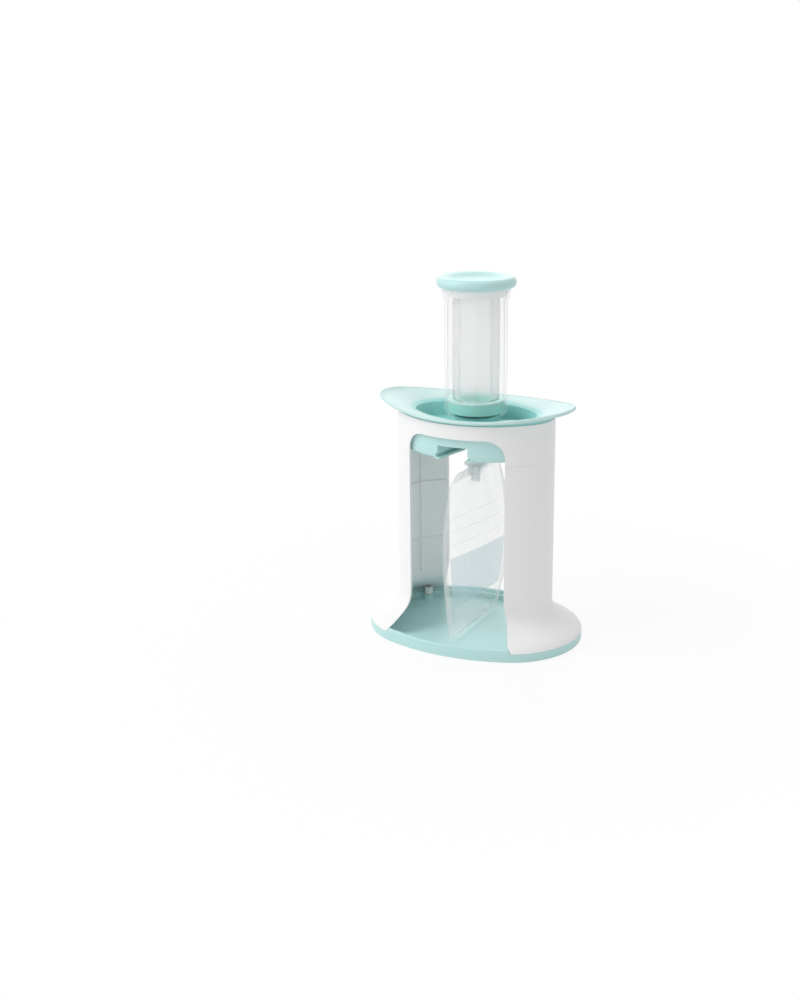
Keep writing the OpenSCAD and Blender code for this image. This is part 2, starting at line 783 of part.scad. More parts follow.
module plunger_knob() {
    rim_c = knob_r - rim_r;
    dish_z = knob_top_z - dish_depth;
    under_z = knob_top_z - 2 * rim_r;
    // concave palm face, running up to the round rim in a smooth curve
    dish = [for (i = [0:dish_steps])
        let (f = i / dish_steps, g = max(0, (f - dish_flat) / (1 - dish_flat)))
        let (sag = dish_sag * pow(max(0, min(1, (f - dish_eye) / (dish_flat - dish_eye))), 2))
        [rim_c * f, dish_z + dish_depth * mixed(sag, 1, (1 - cos(180 * g)) / 2)]];
    rim = [for (i = [1:rim_steps])
        let (t = 90 - 180 * i / rim_steps) [rim_c + rim_r * cos(t), under_z + rim_r + rim_r * sin(t)]];
    color(mint)
        difference() {
            rotate_extrude() polygon(concat([[0, under_z]], dish, rim));
            translate([0, 0, under_z - past])
                linear_extrude(rod_socket / 2 + past + seat_gap)
                    difference() {
                        octagon(rod_r + seat_gap);
                        octagon(rod_r - rod_wall - seat_gap);
                    }
        }
}

// ---- pouch ----
function film_sway(f) = film_bend * sin(360 * film_waves * f);
function film_turned(f) = film_turn + film_twist * sin(180 * pow(f, film_twist_power)) + 180;
function film_thick(s, f) =
    let (across = pow(max(0, 1 - pow(s, 2)), film_side_power))
    let (up = pow(sin(180 * min(film_swell_top, f + film_swell_foot)), film_swell_power))
    mixed(film_edge_t, film_t, across * up);
// half width less the rounded shoulders and hem
function film_w(f) =
    film_half_w - film_shoulder * pow(f, film_shoulder_power) - film_hem * pow(1 - f, film_hem_power);
// point of the film: s across from -1 to 1, f up from 0 to 1, on side 1 or -1
function film_point(s, f, side) =
    let (x = s * film_w(f), y = film_sway(f) + side * film_thick(s, f) / 2, turn = film_turned(f))
    [x * cos(turn) - y * sin(turn), x * sin(turn) + y * cos(turn), mixed(film_bottom_z, film_top_z, f)];

module pouch_film() {
    m = film_cols;
    row = [for (side = [1, -1]) for (i = [0:m]) [side * (1 - 2 * i / m), side]];
    n = len(row);
    pts = [for (k = [0:film_rows]) each [for (p = row) film_point(p[0], k / film_rows, p[1])]];
    top = film_rows * n;
    color(clear)
        difference() {
            polyhedron(
                points = pts,
                faces = concat(
                    [for (k = [0:film_rows - 1], i = [0:n - 1])
                        let (p = k * n + i, q = k * n + (i + 1) % n) [p, q, p + n]],
                    [for (k = [0:film_rows - 1], i = [0:n - 1])
                        let (p = k * n + i, q = k * n + (i + 1) % n) [q, q + n, p + n]],
                    [for (i = [0:m - 1]) [n - 1 - i, i + 1, i]],
                    [for (i = [0:m - 1]) [n - 1 - i, n - 2 - i, i + 1]],
                    [for (i = [0:m - 1]) [top + i, top + i + 1, top + n - 1 - i]],
                    [for (i = [0:m - 1]) [top + i + 1, top + n - 2 - i, top + n - 1 - i]]),
                convexity = 6);
            rotate([0, 0, film_turn])
                translate([0, 0, (boat_z + film_top_z) / 2 + past])
                    cube([2 * (fin_half_w + fit_gap), 4 * film_t, film_top_z - boat_z + 2 * past],
                        center = true);
        }
}

module pouch_spout() {
    flange_low_z = groove_z + seat_gap;
    color(clear)
        difference() {
            union() {
                translate([0, 0, boat_z])
                    cylinder(r1 = stem_tip_r, r2 = stem_r, h = collar_flange_z - boat_z + lap);
                rotate([0, 0, film_turn])
                    translate([-fin_half_w, -fin_half_t, fin_z])
                        cube([2 * fin_half_w, 2 * fin_half_t, collar_flange_z - fin_z + lap]);
                translate([0, 0, collar_flange_z]) cylinder(r = spout_flange_r, h = collar_flange_t);
                translate([0, 0, collar_flange_z]) cylinder(r = neck_r, h = spout_top_z - collar_flange_z);
                translate([0, 0, flange_low_z]) cylinder(r = spout_flange_r, h = spout_ring_t);
                translate([0, 0, flange_low_z])
                    cylinder(r = thread_r - thread_rib, h = spout_top_z - flange_low_z);
                for (i = [0:1])
                    translate([0, 0, flange_low_z + thread_from + thread_pitch * i])
                        cylinder(r = thread_r, h = thread_t);
            }
            translate([0, 0, boat_z - past]) cylinder(r = spout_bore_r, h = spout_top_z - boat_z + 2 * past);
        }
}

base_tray();
left_leg();
right_leg();
upper_housing();
funnel_tray();
spout_holder();
holder_screws();
filling_tube();
tube_gasket();
plunger_column();
plunger_collar();
plunger_knob();
piston_head();
piston_seal();
pouch_film();
pouch_spout();
leg_screws();
foot_front_left();
foot_front_right();
foot_rear_left();
foot_rear_right();
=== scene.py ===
"""Food pouch filling station: finishes, the hung pouch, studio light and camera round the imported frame."""

import logging
import math
from dataclasses import dataclass
from enum import Enum
from typing import Iterable, Protocol

import bpy
import numpy as np
from mathutils import Matrix, Vector


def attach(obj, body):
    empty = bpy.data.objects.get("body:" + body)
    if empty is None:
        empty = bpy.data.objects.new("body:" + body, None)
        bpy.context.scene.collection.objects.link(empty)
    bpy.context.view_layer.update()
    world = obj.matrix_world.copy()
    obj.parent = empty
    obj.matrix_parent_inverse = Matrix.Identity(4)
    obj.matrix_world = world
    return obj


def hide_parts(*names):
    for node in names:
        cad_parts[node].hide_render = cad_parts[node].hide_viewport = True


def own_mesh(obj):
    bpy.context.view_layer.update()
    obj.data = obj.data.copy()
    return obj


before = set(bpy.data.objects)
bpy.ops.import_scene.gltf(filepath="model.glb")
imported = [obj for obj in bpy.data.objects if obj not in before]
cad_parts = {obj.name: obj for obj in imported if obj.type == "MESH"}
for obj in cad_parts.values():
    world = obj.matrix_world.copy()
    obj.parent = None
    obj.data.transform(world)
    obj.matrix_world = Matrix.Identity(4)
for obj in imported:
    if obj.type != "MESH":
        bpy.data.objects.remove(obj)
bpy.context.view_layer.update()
LOG = logging.getLogger("filling_station")
MM = 0.001

Colour = tuple[float, float, float]
Place = tuple[float, float, float]
Socket = bpy.types.NodeSocket
EVEN: Place = (1.0, 1.0, 1.0)
# Corners on the same step of this grid count as one point.
WELD_STEPS_PER_METRE = 2e5
# Degrees between two facets above which the corner between them stays sharp.
SHARP_CORNER = 32.0
# Keeps divisions by a length of 0 finite.
NOTHING = 1e-9


def linear(red: int, green: int, blue: int) -> Colour:
    """Turns a display colour into the linear values that shaders use.

    Args:
        red: red, 0 to 255.
        green: green, 0 to 255.
        blue: blue, 0 to 255.

    Returns:
        The linear red, green and blue, 0 to 1.
    """

    def channel(value: int) -> float:
        """One channel by the display standard's curve."""
        share = value / 255.0
        return share / 12.92 if share <= 0.04045 else ((share + 0.055) / 1.055) ** 2.4

    return (channel(red), channel(green), channel(blue))


def unit(share: float) -> float:
    """Keeps a share between 0 and 1."""
    return max(0.0, min(1.0, share))


class Slot(Enum):
    """The station's finishes, by the names of their materials.

    FILM's value is the record's slot of the pouch's film, whose piece the film bag replaces.
    """

    MINT = "mint_plastic"
    # the bowl's mint, with painted shade low in its hollow
    BOWL = "bowl_mint"
    PISTON = "piston_mint"
    WHITE = "white_plastic"
    CLEAR = "clear_plastic"
    FROSTED = "frosted_plastic"
    COLLAR = "collar_plastic"
    SILICONE = "silicone"
    FILM = "pouch_film"
    SPOUT = "spout_plastic"
    STEEL = "screw_steel"
    PAD = "foot_rubber"


class Body(Enum):
    """The groups of pieces that move as one."""

    STAND = "stand"
    BOWL = "bowl"
    TUBE = "tube"
    PLUNGER = "plunger"
    POUCH = "pouch"


# ---------------------------------------------------------------- finishes


class Graph:
    """Lays out the nodes of one material."""

    def __init__(self, name: str) -> None:
        """Starts an empty material with its shader and output.

        Args:
            name: the material's name.
        """
        self.material = bpy.data.materials.new(name)
        self.material.use_nodes = True
        self.nodes = self.material.node_tree.nodes
        self.links = self.material.node_tree.links
        self.nodes.clear()
        self.output = self.nodes.new("ShaderNodeOutputMaterial")
        self.shader = self.nodes.new("ShaderNodeBsdfPrincipled")
        self.surface = self.shader.outputs["BSDF"]
        self.links.new(self.surface, self.output.inputs["Surface"])
        self.place = self.nodes.new("ShaderNodeTexCoord").outputs["Object"]

    def put(self, **values: float) -> None:
        """Writes constants on the shader's own sockets.

        Args:
            **values: socket names with underscores for spaces, and their values.
        """
        for key, value in values.items():
            self.shader.inputs[key.replace("_", " ")].default_value = value

    def noise(self, scale: float, detail: float = 3.0, stretch: Place = EVEN) -> Socket:
        """Adds a noise pattern in the object's own space.

        Args:
            scale: grains per metre.
            detail: octaves of detail.
            stretch: scale along each axis.

        Returns:
            The pattern's factor socket.
        """
        mapping = self.nodes.new("ShaderNodeMapping")
        mapping.inputs["Scale"].default_value = stretch
        self.links.new(self.place, mapping.inputs["Vector"])
        noise = self.nodes.new("ShaderNodeTexNoise")
        noise.inputs["Scale"].default_value = scale
        noise.inputs["Detail"].default_value = detail
        self.links.new(mapping.outputs["Vector"], noise.inputs["Vector"])
        return noise.outputs["Fac"]

    def ramp(self, source: Socket, low: float, high: float) -> Socket:
        """Maps the middle half of a noise pattern, where nearly all of it lies, onto a range.

        Args:
            source: the pattern.
            low: value where the pattern is at a quarter.
            high: value where it is at three quarters.

        Returns:
            The mapped socket.
        """
        node = self.nodes.new("ShaderNodeMapRange")
        node.inputs["From Min"].default_value = 0.25
        node.inputs["From Max"].default_value = 0.75
        node.inputs["To Min"].default_value = low
        node.inputs["To Max"].default_value = high
        self.links.new(source, node.inputs["Value"])
        return node.outputs["Result"]

    def mix(self, factor: Socket, first: Colour | Socket, second: Colour | Socket) -> Socket:
        """Mixes two colours by a pattern.

        Args:
            factor: 0 gives the first, 1 the second.
            first: a colour or a socket.
            second: a colour or a socket.

        Returns:
            The mixed colour socket.
        """
        node = self.nodes.new("ShaderNodeMix")
        node.data_type = "RGBA"
        self.links.new(factor, node.inputs[0])
        for value, socket in ((first, node.inputs[6]), (second, node.inputs[7])):
            if isinstance(value, Socket):
                self.links.new(value, socket)
            else:
                socket.default_value = (*value, 1.0)
        return node.outputs[2]

    def math(self, operation: str, first: Socket | float, second: Socket | float = 0.0) -> Socket:
        """Adds one arithmetic step.

        Args:
            operation: the math node's operation.
            first: a number or a socket.
            second: a number or a socket.

        Returns:
            The result socket.
        """
        node = self.nodes.new("ShaderNodeMath")
        node.operation = operation
        for value, socket in ((first, node.inputs[0]), (second, node.inputs[1])):
            if isinstance(value, Socket):
                self.links.new(value, socket)
            else:
                socket.default_value = value
        return node.outputs[0]

    def level(self, source: Socket, start: float, end: float, low: float, high: float) -> Socket:
        """Maps a coordinate smoothly from one range onto another.

        Args:
            source: the coordinate.
            start: where the low value ends.
            end: where the high value begins.
            low: value before the start.
            high: value past the end.

        Returns:
            The mapped socket.
        """
        node = self.nodes.new("ShaderNodeMapRange")
        node.interpolation_type = "SMOOTHSTEP"
        node.inputs["From Min"].default_value = start
        node.inputs["From Max"].default_value = end
        node.inputs["To Min"].default_value = low
        node.inputs["To Max"].default_value = high
        self.links.new(source, node.inputs["Value"])
        return node.outputs["Result"]

    def skin(self, face: float, edge: float, falloff: float) -> Socket:
        """Gives a thin clear wall its gloss and haze: faint square on, and stronger edge on.

        Args:
            face: cover seen square on.
            edge: cover seen edge on.
            falloff: how closely the stronger cover keeps to the edge.

        Returns:
            The cover socket.
        """
        weight = self.nodes.new("ShaderNodeLayerWeight")
        weight.inputs["Blend"].default_value = 0.5
        facet = self.nodes.new("ShaderNodeNewGeometry")
        self.links.new(facet.outputs["True Normal"], weight.inputs["Normal"])
        turned = self.math("POWER", weight.outputs["Facing"], falloff)
        return self.level(turned, 0.0, 1.0, face, edge)

    def _blend(self, share: Socket | float, first: Socket, second: Socket) -> None:
        """Mixes two shaders and makes the mix the material's surface.

        Args:
            share: 0 gives the first, 1 the second.
            first: a shader.
            second: a shader.
        """
        node = self.nodes.new("ShaderNodeMixShader")
        if isinstance(share, Socket):
            self.links.new(share, node.inputs["Fac"])
        else:
            node.inputs["Fac"].default_value = share
        self.links.new(first, node.inputs[1])
        self.links.new(second, node.inputs[2])
        self.surface = node.outputs["Shader"]
        self.links.new(self.surface, self.output.inputs["Surface"])

    def veil(self, cover: Socket, lit_cover: float, tint: float) -> None:
        """Lets what is behind the surface show through it, and more of the light.

        Args:
            cover: how much of the surface shows, 0 to 1.
            lit_cover: the share of the light that the surface stops.
            tint: grey level of what passes through.
        """
        path = self.nodes.new("ShaderNodeLightPath")
        blocked = self.math("MAXIMUM", path.outputs["Is Shadow Ray"], path.outputs["Is Diffuse Ray"])
        share = self.nodes.new("ShaderNodeMix")
        share.data_type = "FLOAT"
        self.links.new(blocked, share.inputs[0])
        self.links.new(cover, share.inputs[2])
        share.inputs[3].default_value = lit_cover
        through = self.nodes.new("ShaderNodeBsdfTransparent")
        through.inputs["Color"].default_value = (tint, tint, tint, 1.0)
        self._blend(share.outputs[0], through.outputs["BSDF"], self.surface)

    def translucent(self, colour: Colour | Socket, share: float) -> None:
        """Lets part of the light that falls on the back shine through the front.

        Args:
            colour: colour of the light that comes through.
            share: how much of the surface works this way.
        """
        back = self.nodes.new("ShaderNodeBsdfTranslucent")
        if isinstance(colour, Socket):
            self.links.new(colour, back.inputs["Color"])
        else:
            back.inputs["Color"].default_value = (*colour, 1.0)
        self._blend(share, self.surface, back.outputs["BSDF"])

    def bump(self, height: Socket, strength: float, distance: float) -> None:
        """Raises the surface by a pattern.

        Args:
            height: the pattern.
            strength: how much of the effect shows.
            distance: its depth in metres.
        """
        node = self.nodes.new("ShaderNodeBump")
        node.inputs["Strength"].default_value = strength
        node.inputs["Distance"].default_value = distance
        self.links.new(height, node.inputs["Height"])
        self.links.new(node.outputs["Normal"], self.shader.inputs["Normal"])

    def colour_and_gloss(self, base: Socket, gloss: Socket) -> None:
        """Links a surface's colour and roughness patterns."""
        self.links.new(base, self.shader.inputs["Base Color"])
        self.links.new(gloss, self.shader.inputs["Roughness"])


def shaded(colour: Colour, factor: float) -> Colour:
    """A colour made darker or lighter, and kept within 1."""
    return (min(1.0, colour[0] * factor), min(1.0, colour[1] * factor), min(1.0, colour[2] * factor))


class Maker(Protocol):
    """A finish that can build its material."""

    def make(self, name: str) -> bpy.types.Material:
        """Builds the material under that name."""


@dataclass(frozen=True)
class MouldedPlastic:
    """Opaque moulded plastic: a satin skin with a fine grain and faint flow marks.

    Where a painted-shade colour is given, the colour turns to it towards the bottom as painted shade for a
    hollow: fully below the lower level, not at all above the upper one. Scales are in grains per metre.
    """

    colour: Colour
    roughness: float = 0.36
    drift: float = 0.03
    flow_scale: float = 22.0
    flow_stretch: Place = (1.0, 1.0, 0.35)
    patch_scale: float = 60.0
    grain_scale: float = 1500.0
    grain_depth: float = 0.02 * MM
    grain_strength: float = 0.22
    gloss_drift: tuple[float, float] = (-0.04, 0.05)
    bending: float = 1.47
    # painted shade: a darker mint below a level, and the levels between which it fades in
    painted_shade_colour: Colour | None = None
    unshaded_above: float = 0.0
    full_shade_below: float = 0.0

    def make(self, name: str) -> bpy.types.Material:
        """Builds the material.

        Args:
            name: the material's name.

        Returns:
            The finished material.
        """
        graph = Graph(name)
        flow = graph.noise(self.flow_scale, 4.0, self.flow_stretch)
        base = graph.mix(flow, shaded(self.colour, 1.0 - self.drift), shaded(self.colour, 1.0 + self.drift))
        # painted shade: the colour darkens and deepens towards the bottom, by height in the object's space
        if self.painted_shade_colour is not None:
            split = graph.nodes.new("ShaderNodeSeparateXYZ")
            graph.links.new(graph.place, split.inputs["Vector"])
            low = graph.level(split.outputs["Z"], self.full_shade_below, self.unshaded_above, 1.0, 0.0)
            base = graph.mix(low, base, self.painted_shade_colour)
        patches = graph.noise(self.patch_scale)
        smoother, rougher = self.gloss_drift
        gloss = graph.ramp(patches, self.roughness + smoother, self.roughness + rougher)
        graph.colour_and_gloss(base, gloss)
        graph.bump(graph.noise(self.grain_scale, 2.0), self.grain_strength, self.grain_depth)
        graph.put(IOR=self.bending)
        return graph.material


@dataclass(frozen=True)
class ClearPlastic:
    """Clear moulded plastic of a thin wall, with faint flow waves."""

    tint: Colour = (0.96, 0.965, 0.97)
    roughness: float = 0.04
    face_cover: float = 0.035
    edge_cover: float = 0.6
    edge_falloff: float = 3.2
    stopped: float = 0.02
    back_light: float = 0.4
    wave_scale: float = 30.0
    wave_stretch: Place = (1.0, 1.0, 0.3)
    wave_depth: float = 0.2 * MM
    wave_strength: float = 0.05
    wave_shade: float = 0.985
    haze_scale: float = 120.0
    haze: float = 0.03
    let_through: float = 0.995
    bending: float = 1.49
    coat: float = 0.6
    coat_bending: float = 1.5
    coat_roughness: float = 0.03

    def make(self, name: str) -> bpy.types.Material:
        """Builds the material.

        Args:
            name: the material's name.

        Returns:
            The finished material.
        """
        graph = Graph(name)
        waves = graph.noise(self.wave_scale, 2.0, self.wave_stretch)
        base = graph.mix(waves, shaded(self.tint, self.wave_shade), self.tint)
        haze = graph.noise(self.haze_scale, 2.0)
        graph.colour_and_gloss(base, graph.ramp(haze, self.roughness, self.roughness + self.haze))
        graph.bump(waves, self.wave_strength, self.wave_depth)
        graph.put(IOR=self.bending, Coat_Weight=self.coat)
        graph.put(Coat_IOR=self.coat_bending, Coat_Roughness=self.coat_roughness)
        graph.translucent(self.tint, self.back_light)
        cover = graph.skin(self.face_cover, self.edge_cover, self.edge_falloff)
        graph.veil(cover, self.stopped, self.let_through)
        return graph.material


@dataclass(frozen=True)
class FrostedPlastic:
    """Milky plastic that lets light through, blurred or as a glow."""

    colour: Colour
    cover: float
    edge_cover: float
    roughness: float
    back_light: float = 0.0
    blurred: float = 0.0
    bending: float = 1.46
    edge_falloff: float = 2.2
    cloud_scale: float = 45.0
    cloud_stretch: Place = (1.0, 1.0, 0.4)
    cloud_shade: float = 0.97
    haze_scale: float = 300.0
    haze: float = 0.05
    grain_scale: float = 2200.0
    grain_depth: float = 0.02 * MM
    grain_strength: float = 0.25
    stopped: float = 0.6
    let_through: float = 0.99

    def make(self, name: str) -> bpy.types.Material:
        """Builds the material.

        Args:
            name: the material's name.

        Returns:
            The finished material.
        """
        graph = Graph(name)
        cloud = graph.noise(self.cloud_scale, 3.0, self.cloud_stretch)
        base = graph.mix(cloud, shaded(self.colour, self.cloud_shade), self.colour)
        haze = graph.noise(self.haze_scale, 2.0)
        gloss = graph.ramp(haze, self.roughness - self.haze, self.roughness + self.haze)
        graph.colour_and_gloss(base, gloss)
        graph.bump(graph.noise(self.grain_scale, 2.0), self.grain_strength, self.grain_depth)
        graph.put(IOR=self.bending, Transmission_Weight=self.blurred)
        if self.back_light > 0:
            graph.translucent(base, self.back_light)
        stopped = self.cover * (1.0 - self.blurred) * self.stopped
        cover = graph.skin(self.cover, self.edge_cover, self.edge_falloff)
        graph.veil(cover, stopped, self.let_through)
        return graph.material


@dataclass(frozen=True)
class SoftRubber:
    """Silicone or rubber: matt, with a powdery grain."""

    colour: Colour
    roughness: float = 0.6
    dust_scale: float = 180.0
    dust_shade: float = 0.94
    dust_gloss: float = 0.06
    grain_scale: float = 1400.0
    grain_depth: float = 0.03 * MM
    grain_strength: float = 0.3

    def make(self, name: str) -> bpy.types.Material:
        """Builds the material.

        Args:
            name: the material's name.

        Returns:
            The finished material.
        """
        graph = Graph(name)
        dust = graph.noise(self.dust_scale, 4.0)
        base = graph.mix(dust, shaded(self.colour, self.dust_shade), self.colour)
        gloss = graph.ramp(dust, self.roughness - self.dust_gloss, self.roughness + self.dust_gloss)
        graph.colour_and_gloss(base, gloss)
        graph.bump(graph.noise(self.grain_scale), self.grain_strength, self.grain_depth)
        return graph.material


@dataclass(frozen=True)
class ScrewSteel:
    """Bright zinc-plated steel with turned marks."""

    colour: Colour = (0.62, 0.62, 0.64)
    mark_scale: float = 900.0
    mark_stretch: Place = (1.0, 1.0, 6.0)
    mark_shade: float = 0.85
    roughness: tuple[float, float] = (0.24, 0.38)

    def make(self, name: str) -> bpy.types.Material:
        """Builds the material.

        Args:
            name: the material's name.

        Returns:
            The finished material.
        """
        graph = Graph(name)
        marks = graph.noise(self.mark_scale, 2.0, self.mark_stretch)
        base = graph.mix(marks, shaded(self.colour, self.mark_shade), self.colour)
        graph.colour_and_gloss(base, graph.ramp(marks, *self.roughness))
        graph.put(Metallic=1.0)
        return graph.material


@dataclass(frozen=True)
class PrintedFilm:
    """Clear pouch film with a pale write-on panel, plain measure rules and milky sealed edges.

    The mesh's UV map holds [across, up] in metres, measured from the pouch's centre line and foot.
    Up is negative on the rear sheet, which isn't printed.
    """

    half_width: float
    height: float
    seal: float
    panel_half_width: float
    panel_low: float
    panel_high: float
    rule_ends: tuple[float, float]
    rule_levels: tuple[float, ...]
    rule_half: float = 0.22 * MM
    lines: int = 7
    line_half: float = 0.2 * MM
    line_margin: float = 5.0 * MM
    line_soft: float = 0.1 * MM
    panel_soft: float = 0.3 * MM
    seal_soft: float = 0.8 * MM
    clear: Colour = linear(252, 252, 253)
    milky: Colour = linear(250, 251, 251)
    panel: Colour = linear(216, 235, 241)
    rule: Colour = linear(170, 178, 180)
    rule_ink: float = 0.8
    line: Colour = linear(236, 244, 247)
    line_ink: float = 0.6
    clear_cover: float = 0.14
    seal_cover: float = 0.36
    panel_cover: float = 0.42
    rule_cover: float = 0.28
    crinkle_cover: float = 0.14
    cover_limits: tuple[float, float] = (0.05, 0.95)
    crinkle_scale: float = 90.0
    crinkle_stretch: Place = (1.0, 1.0, 0.4)
    crinkle_depth: float = 0.6 * MM
    crinkle_strength: float = 0.22
    roughness: tuple[float, float] = (0.14, 0.26)
    stopped: float = 0.06
    back_light: float = 0.6
    let_through: float = 0.995
    bending: float = 1.45

    def _band(self, graph: Graph, source: Socket, ends: tuple[float, float], soft: float) -> Socket:
        """Marks where a coordinate lies between two values.

        Args:
            graph: the material's graph.
            source: the coordinate.
            ends: lower and upper limit in metres.
            soft: half width of the soft edge.

        Returns:
            A socket that is 1 inside and 0 outside.
        """
        low, high = ends
        away = graph.math("ABSOLUTE", graph.math("SUBTRACT", source, (low + high) / 2))
        half = (high - low) / 2
        return graph.level(away, half + soft, half - soft, 0.0, 1.0)

    def _panel_lines(self, graph: Graph, across: Socket, up: Socket) -> Socket:
        """Marks the evenly spaced lines on the panel.

        Args:
            graph: the material's graph.
            across: the coordinate across.
            up: the coordinate up.

        Returns:
            A socket that is 1 on the lines.
        """
        pitch = (self.panel_high - self.panel_low) / (self.lines + 1)
        marks: Socket | float = 0.0
        for number in range(1, self.lines + 1):
            middle = self.panel_low + pitch * number
            ends = (middle - self.line_half, middle + self.line_half)
            marks = graph.math("MAXIMUM", marks, self._band(graph, up, ends, self.line_soft))
        reach = self.panel_half_width - self.line_margin
        return graph.math("MULTIPLY", marks, self._band(graph, across, (-reach, reach), self.panel_soft))

    def _rules(self, graph: Graph, across: Socket, up: Socket) -> Socket:
        """Marks the measure rules above the panel.

        Args:
            graph: the material's graph.
            across: the coordinate across.
            up: the coordinate up.

        Returns:
            A socket that is 1 on the rules.
        """
        marks: Socket | float = 0.0
        for middle in self.rule_levels:
            ends = (middle - self.rule_half, middle + self.rule_half)
            reach = self._band(graph, across, self.rule_ends, self.panel_soft)
            rule = graph.math("MULTIPLY", reach, self._band(graph, up, ends, self.line_soft))
            marks = graph.math("MAXIMUM", marks, rule)
        return marks

    def _unsealed(self, graph: Graph, across: Socket, up: Socket) -> Socket:
        """Marks the clear film inside the sealed edges, on both sheets.

        Args:
            graph: the material's graph.
            across: the coordinate across.
            up: the coordinate up.

        Returns:
            A socket that is 0 on the seals.
        """
        reach = self.half_width - self.seal
        risen = graph.math("ABSOLUTE", up)
        return graph.math(
            "MULTIPLY",
            self._band(graph, across, (-reach, reach), self.seal_soft),
            self._band(graph, risen, (self.seal, self.height - self.seal), self.seal_soft),
        )

    def _cover(self, graph: Graph, shares: Iterable[tuple[Socket, float]], crinkle: Socket) -> Socket:
        """Adds up how much of the film shows.

        Args:
            graph: the material's graph.
            shares: each mark and what it adds to the cover of the seals.
            crinkle: the pattern of the film's wrinkles.

        Returns:
            The cover socket.
        """
        cover: Socket | float = self.seal_cover
        for mark, added in shares:
            cover = graph.math("ADD", cover, graph.math("MULTIPLY", mark, added))
        wrinkled = graph.math("MULTIPLY", graph.math("SUBTRACT", crinkle, 0.5), self.crinkle_cover)
        cover = graph.math("ADD", cover, wrinkled)
        least, most = self.cover_limits
        return graph.math("MINIMUM", graph.math("MAXIMUM", cover, least), most)

    def make(self, name: str) -> bpy.types.Material:
        """Builds the material.

        Args:
            name: the material's name.

        Returns:
            The finished material.
        """
        graph = Graph(name)
        uv = graph.nodes.new("ShaderNodeUVMap")
        uv.uv_map = "print"
        split = graph.nodes.new("ShaderNodeSeparateXYZ")
        graph.links.new(uv.outputs["UV"], split.inputs["Vector"])
        across, up = split.outputs["X"], split.outputs["Y"]

        wide = self._band(graph, across, (-self.panel_half_width, self.panel_half_width), self.panel_soft)
        tall = self._band(graph, up, (self.panel_low, self.panel_high), self.panel_soft)
        panel = graph.math("MULTIPLY", wide, tall)
        lines = self._panel_lines(graph, across, up)
        rules = self._rules(graph, across, up)
        inner = self._unsealed(graph, across, up)
        crinkle = graph.noise(self.crinkle_scale, 4.0, self.crinkle_stretch)

        base = graph.mix(inner, self.milky, self.clear)
        base = graph.mix(graph.math("MULTIPLY", rules, self.rule_ink), base, self.rule)
        base = graph.mix(panel, base, self.panel)
        base = graph.mix(graph.math("MULTIPLY", lines, self.line_ink), base, self.line)
        graph.colour_and_gloss(base, graph.ramp(crinkle, *self.roughness))
        graph.bump(crinkle, self.crinkle_strength, self.crinkle_depth)
        graph.put(IOR=self.bending)
        graph.translucent(base, self.back_light)
        added = (
            (inner, self.clear_cover - self.seal_cover),
            (panel, self.panel_cover),
            (rules, self.rule_cover),
        )
        graph.veil(self._cover(graph, added, crinkle), self.stopped, self.let_through)
        return graph.material


PALETTE: dict[Slot, Maker] = {
    Slot.MINT: MouldedPlastic(linear(190, 228, 226), roughness=0.36, drift=0.012),
    Slot.PISTON: MouldedPlastic(linear(164, 228, 216), roughness=0.4, drift=0.012),
    Slot.WHITE: MouldedPlastic(linear(242, 242, 242), roughness=0.42, drift=0.005),
    Slot.COLLAR: MouldedPlastic(linear(244, 245, 246), roughness=0.3, drift=0.006),
    Slot.CLEAR: ClearPlastic(),
    Slot.FROSTED: FrostedPlastic(
        linear(254, 254, 254), cover=0.85, edge_cover=0.95, roughness=0.5, blurred=0.82, bending=1.12
    ),
    Slot.SPOUT: FrostedPlastic(
        linear(252, 252, 253), cover=0.24, edge_cover=0.6, roughness=0.2, back_light=0.55
    ),
    Slot.SILICONE: SoftRubber(linear(206, 236, 232), roughness=0.5),
    Slot.PAD: SoftRubber(linear(206, 210, 210), roughness=0.65),
    Slot.STEEL: ScrewSteel(),
}


class Dresser:
    """Makes each finish once and puts it on the frame's own pieces."""

    def __init__(self, finishes: dict[Slot, Maker]) -> None:
        """Builds the materials.

        Args:
            finishes: the finishes to make.
        """
        self.materials: dict[Slot, bpy.types.Material] = {}
        for slot, finish in finishes.items():
            self.add(slot, finish)

    def add(self, slot: Slot, finish: Maker) -> None:
        """Builds one more material."""
        self.materials[slot] = finish.make(slot.value)

    def dress(self, node: str, slot: Slot) -> None:
        """Gives a frame piece its finish and smooth shading.

        Args:
            node: the piece's name.
            slot: which finish it takes.
        """
        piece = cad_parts[node]
        piece.data.materials.clear()
        piece.data.materials.append(self.materials[slot])
        smooth_corners(piece)
        LOG.info("dressed %s as %s", node, slot.value)


